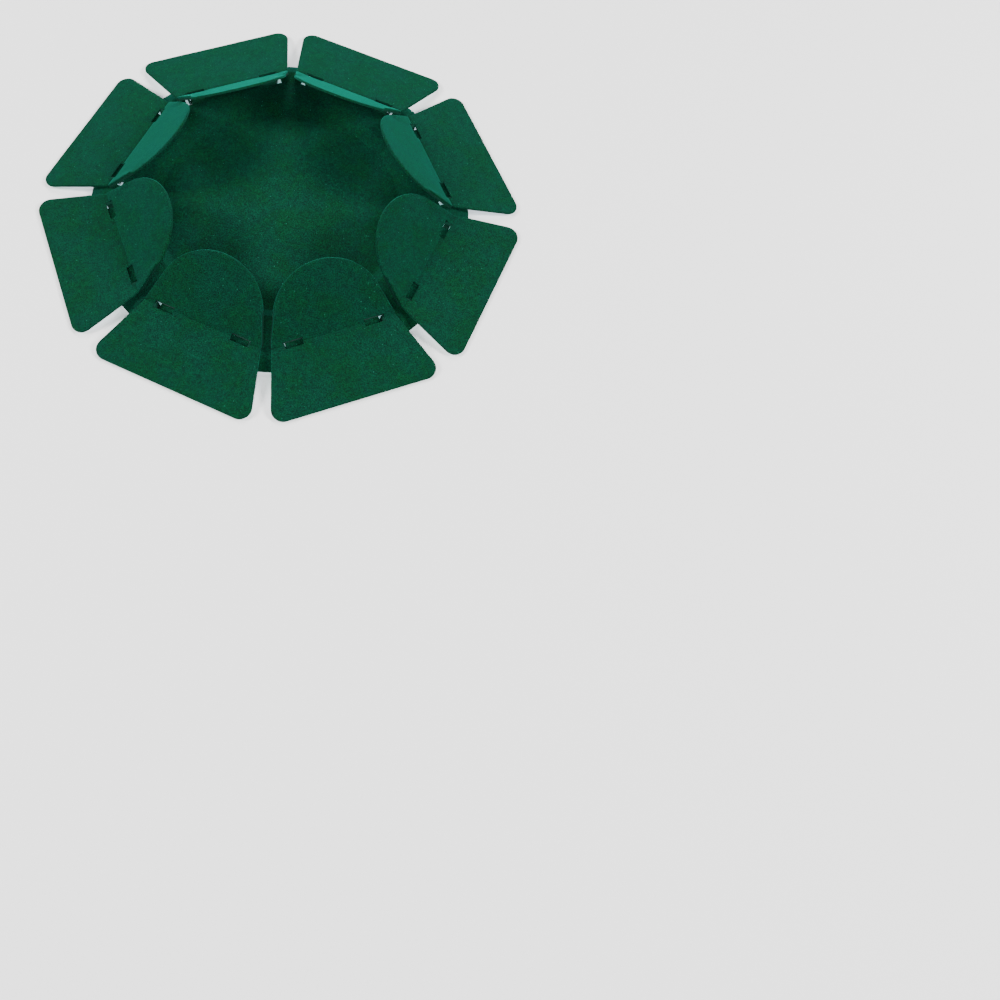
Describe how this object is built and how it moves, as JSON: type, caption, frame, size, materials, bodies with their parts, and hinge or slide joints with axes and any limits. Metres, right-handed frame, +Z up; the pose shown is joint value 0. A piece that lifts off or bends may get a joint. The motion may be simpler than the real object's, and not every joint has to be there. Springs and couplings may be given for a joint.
{
  "type": "golf putting practice cup",
  "caption": "Round indoor putting practice cup: a flocked dished steel plate ringed by rocking flaps that let a golf ball in from any side and keep it in.",
  "frame": {"origin": "on the floor, at the middle of the round base plate", "axes": "+Z up, at right angles to the plate; -Y points at the gap between two flaps, and the flaps are numbered anticlockwise from the one to the left of it"},
  "size_m": [0.1922, 0.1922, 0.0256],
  "materials": {
    "galvanised_steel": "matt zinc-coated sheet, with green overspray",
    "green_flocking": "short dense nylon flock"
  },
  "bodies": {
    "base": {"base_plate": "galvanised_steel", "base_flocking": "green_flocking"},
    "flap_1": {"flap_1": "galvanised_steel", "flap_flocking_1": "green_flocking"},
    "flap_2": {"flap_2": "galvanised_steel", "flap_flocking_2": "green_flocking"},
    "flap_3": {"flap_3": "galvanised_steel", "flap_flocking_3": "green_flocking"},
    "flap_4": {"flap_4": "galvanised_steel", "flap_flocking_4": "green_flocking"},
    "flap_5": {"flap_5": "galvanised_steel", "flap_flocking_5": "green_flocking"},
    "flap_6": {"flap_6": "galvanised_steel", "flap_flocking_6": "green_flocking"},
    "flap_7": {"flap_7": "galvanised_steel", "flap_flocking_7": "green_flocking"},
    "flap_8": {"flap_8": "galvanised_steel", "flap_flocking_8": "green_flocking"}
  },
  "joints": [
    {"name": "flap_1_tip", "type": "hinge", "parent": "base", "child": "flap_1", "pos_m": [-0.02478, -0.05982, 0.0046], "axis": [-0.9239, 0.3827, 0], "range_deg": [0, 44]},
    {"name": "flap_2_tip", "type": "hinge", "parent": "base", "child": "flap_2", "pos_m": [0.02478, -0.05982, 0.0046], "axis": [-0.9239, -0.3827, 0], "range_deg": [0, 44]},
    {"name": "flap_3_tip", "type": "hinge", "parent": "base", "child": "flap_3", "pos_m": [0.05982, -0.02478, 0.0046], "axis": [-0.3827, -0.9239, 0], "range_deg": [0, 44]},
    {"name": "flap_4_tip", "type": "hinge", "parent": "base", "child": "flap_4", "pos_m": [0.05982, 0.02478, 0.0046], "axis": [0.3827, -0.9239, 0], "range_deg": [0, 44]},
    {"name": "flap_5_tip", "type": "hinge", "parent": "base", "child": "flap_5", "pos_m": [0.02478, 0.05982, 0.0046], "axis": [0.9239, -0.3827, 0], "range_deg": [0, 44]},
    {"name": "flap_6_tip", "type": "hinge", "parent": "base", "child": "flap_6", "pos_m": [-0.02478, 0.05982, 0.0046], "axis": [0.9239, 0.3827, 0], "range_deg": [0, 44]},
    {"name": "flap_7_tip", "type": "hinge", "parent": "base", "child": "flap_7", "pos_m": [-0.05982, 0.02478, 0.0046], "axis": [0.3827, 0.9239, 0], "range_deg": [0, 44]},
    {"name": "flap_8_tip", "type": "hinge", "parent": "base", "child": "flap_8", "pos_m": [-0.05982, -0.02478, 0.0046], "axis": [-0.3827, 0.9239, 0], "range_deg": [0, 44]}
  ]
}
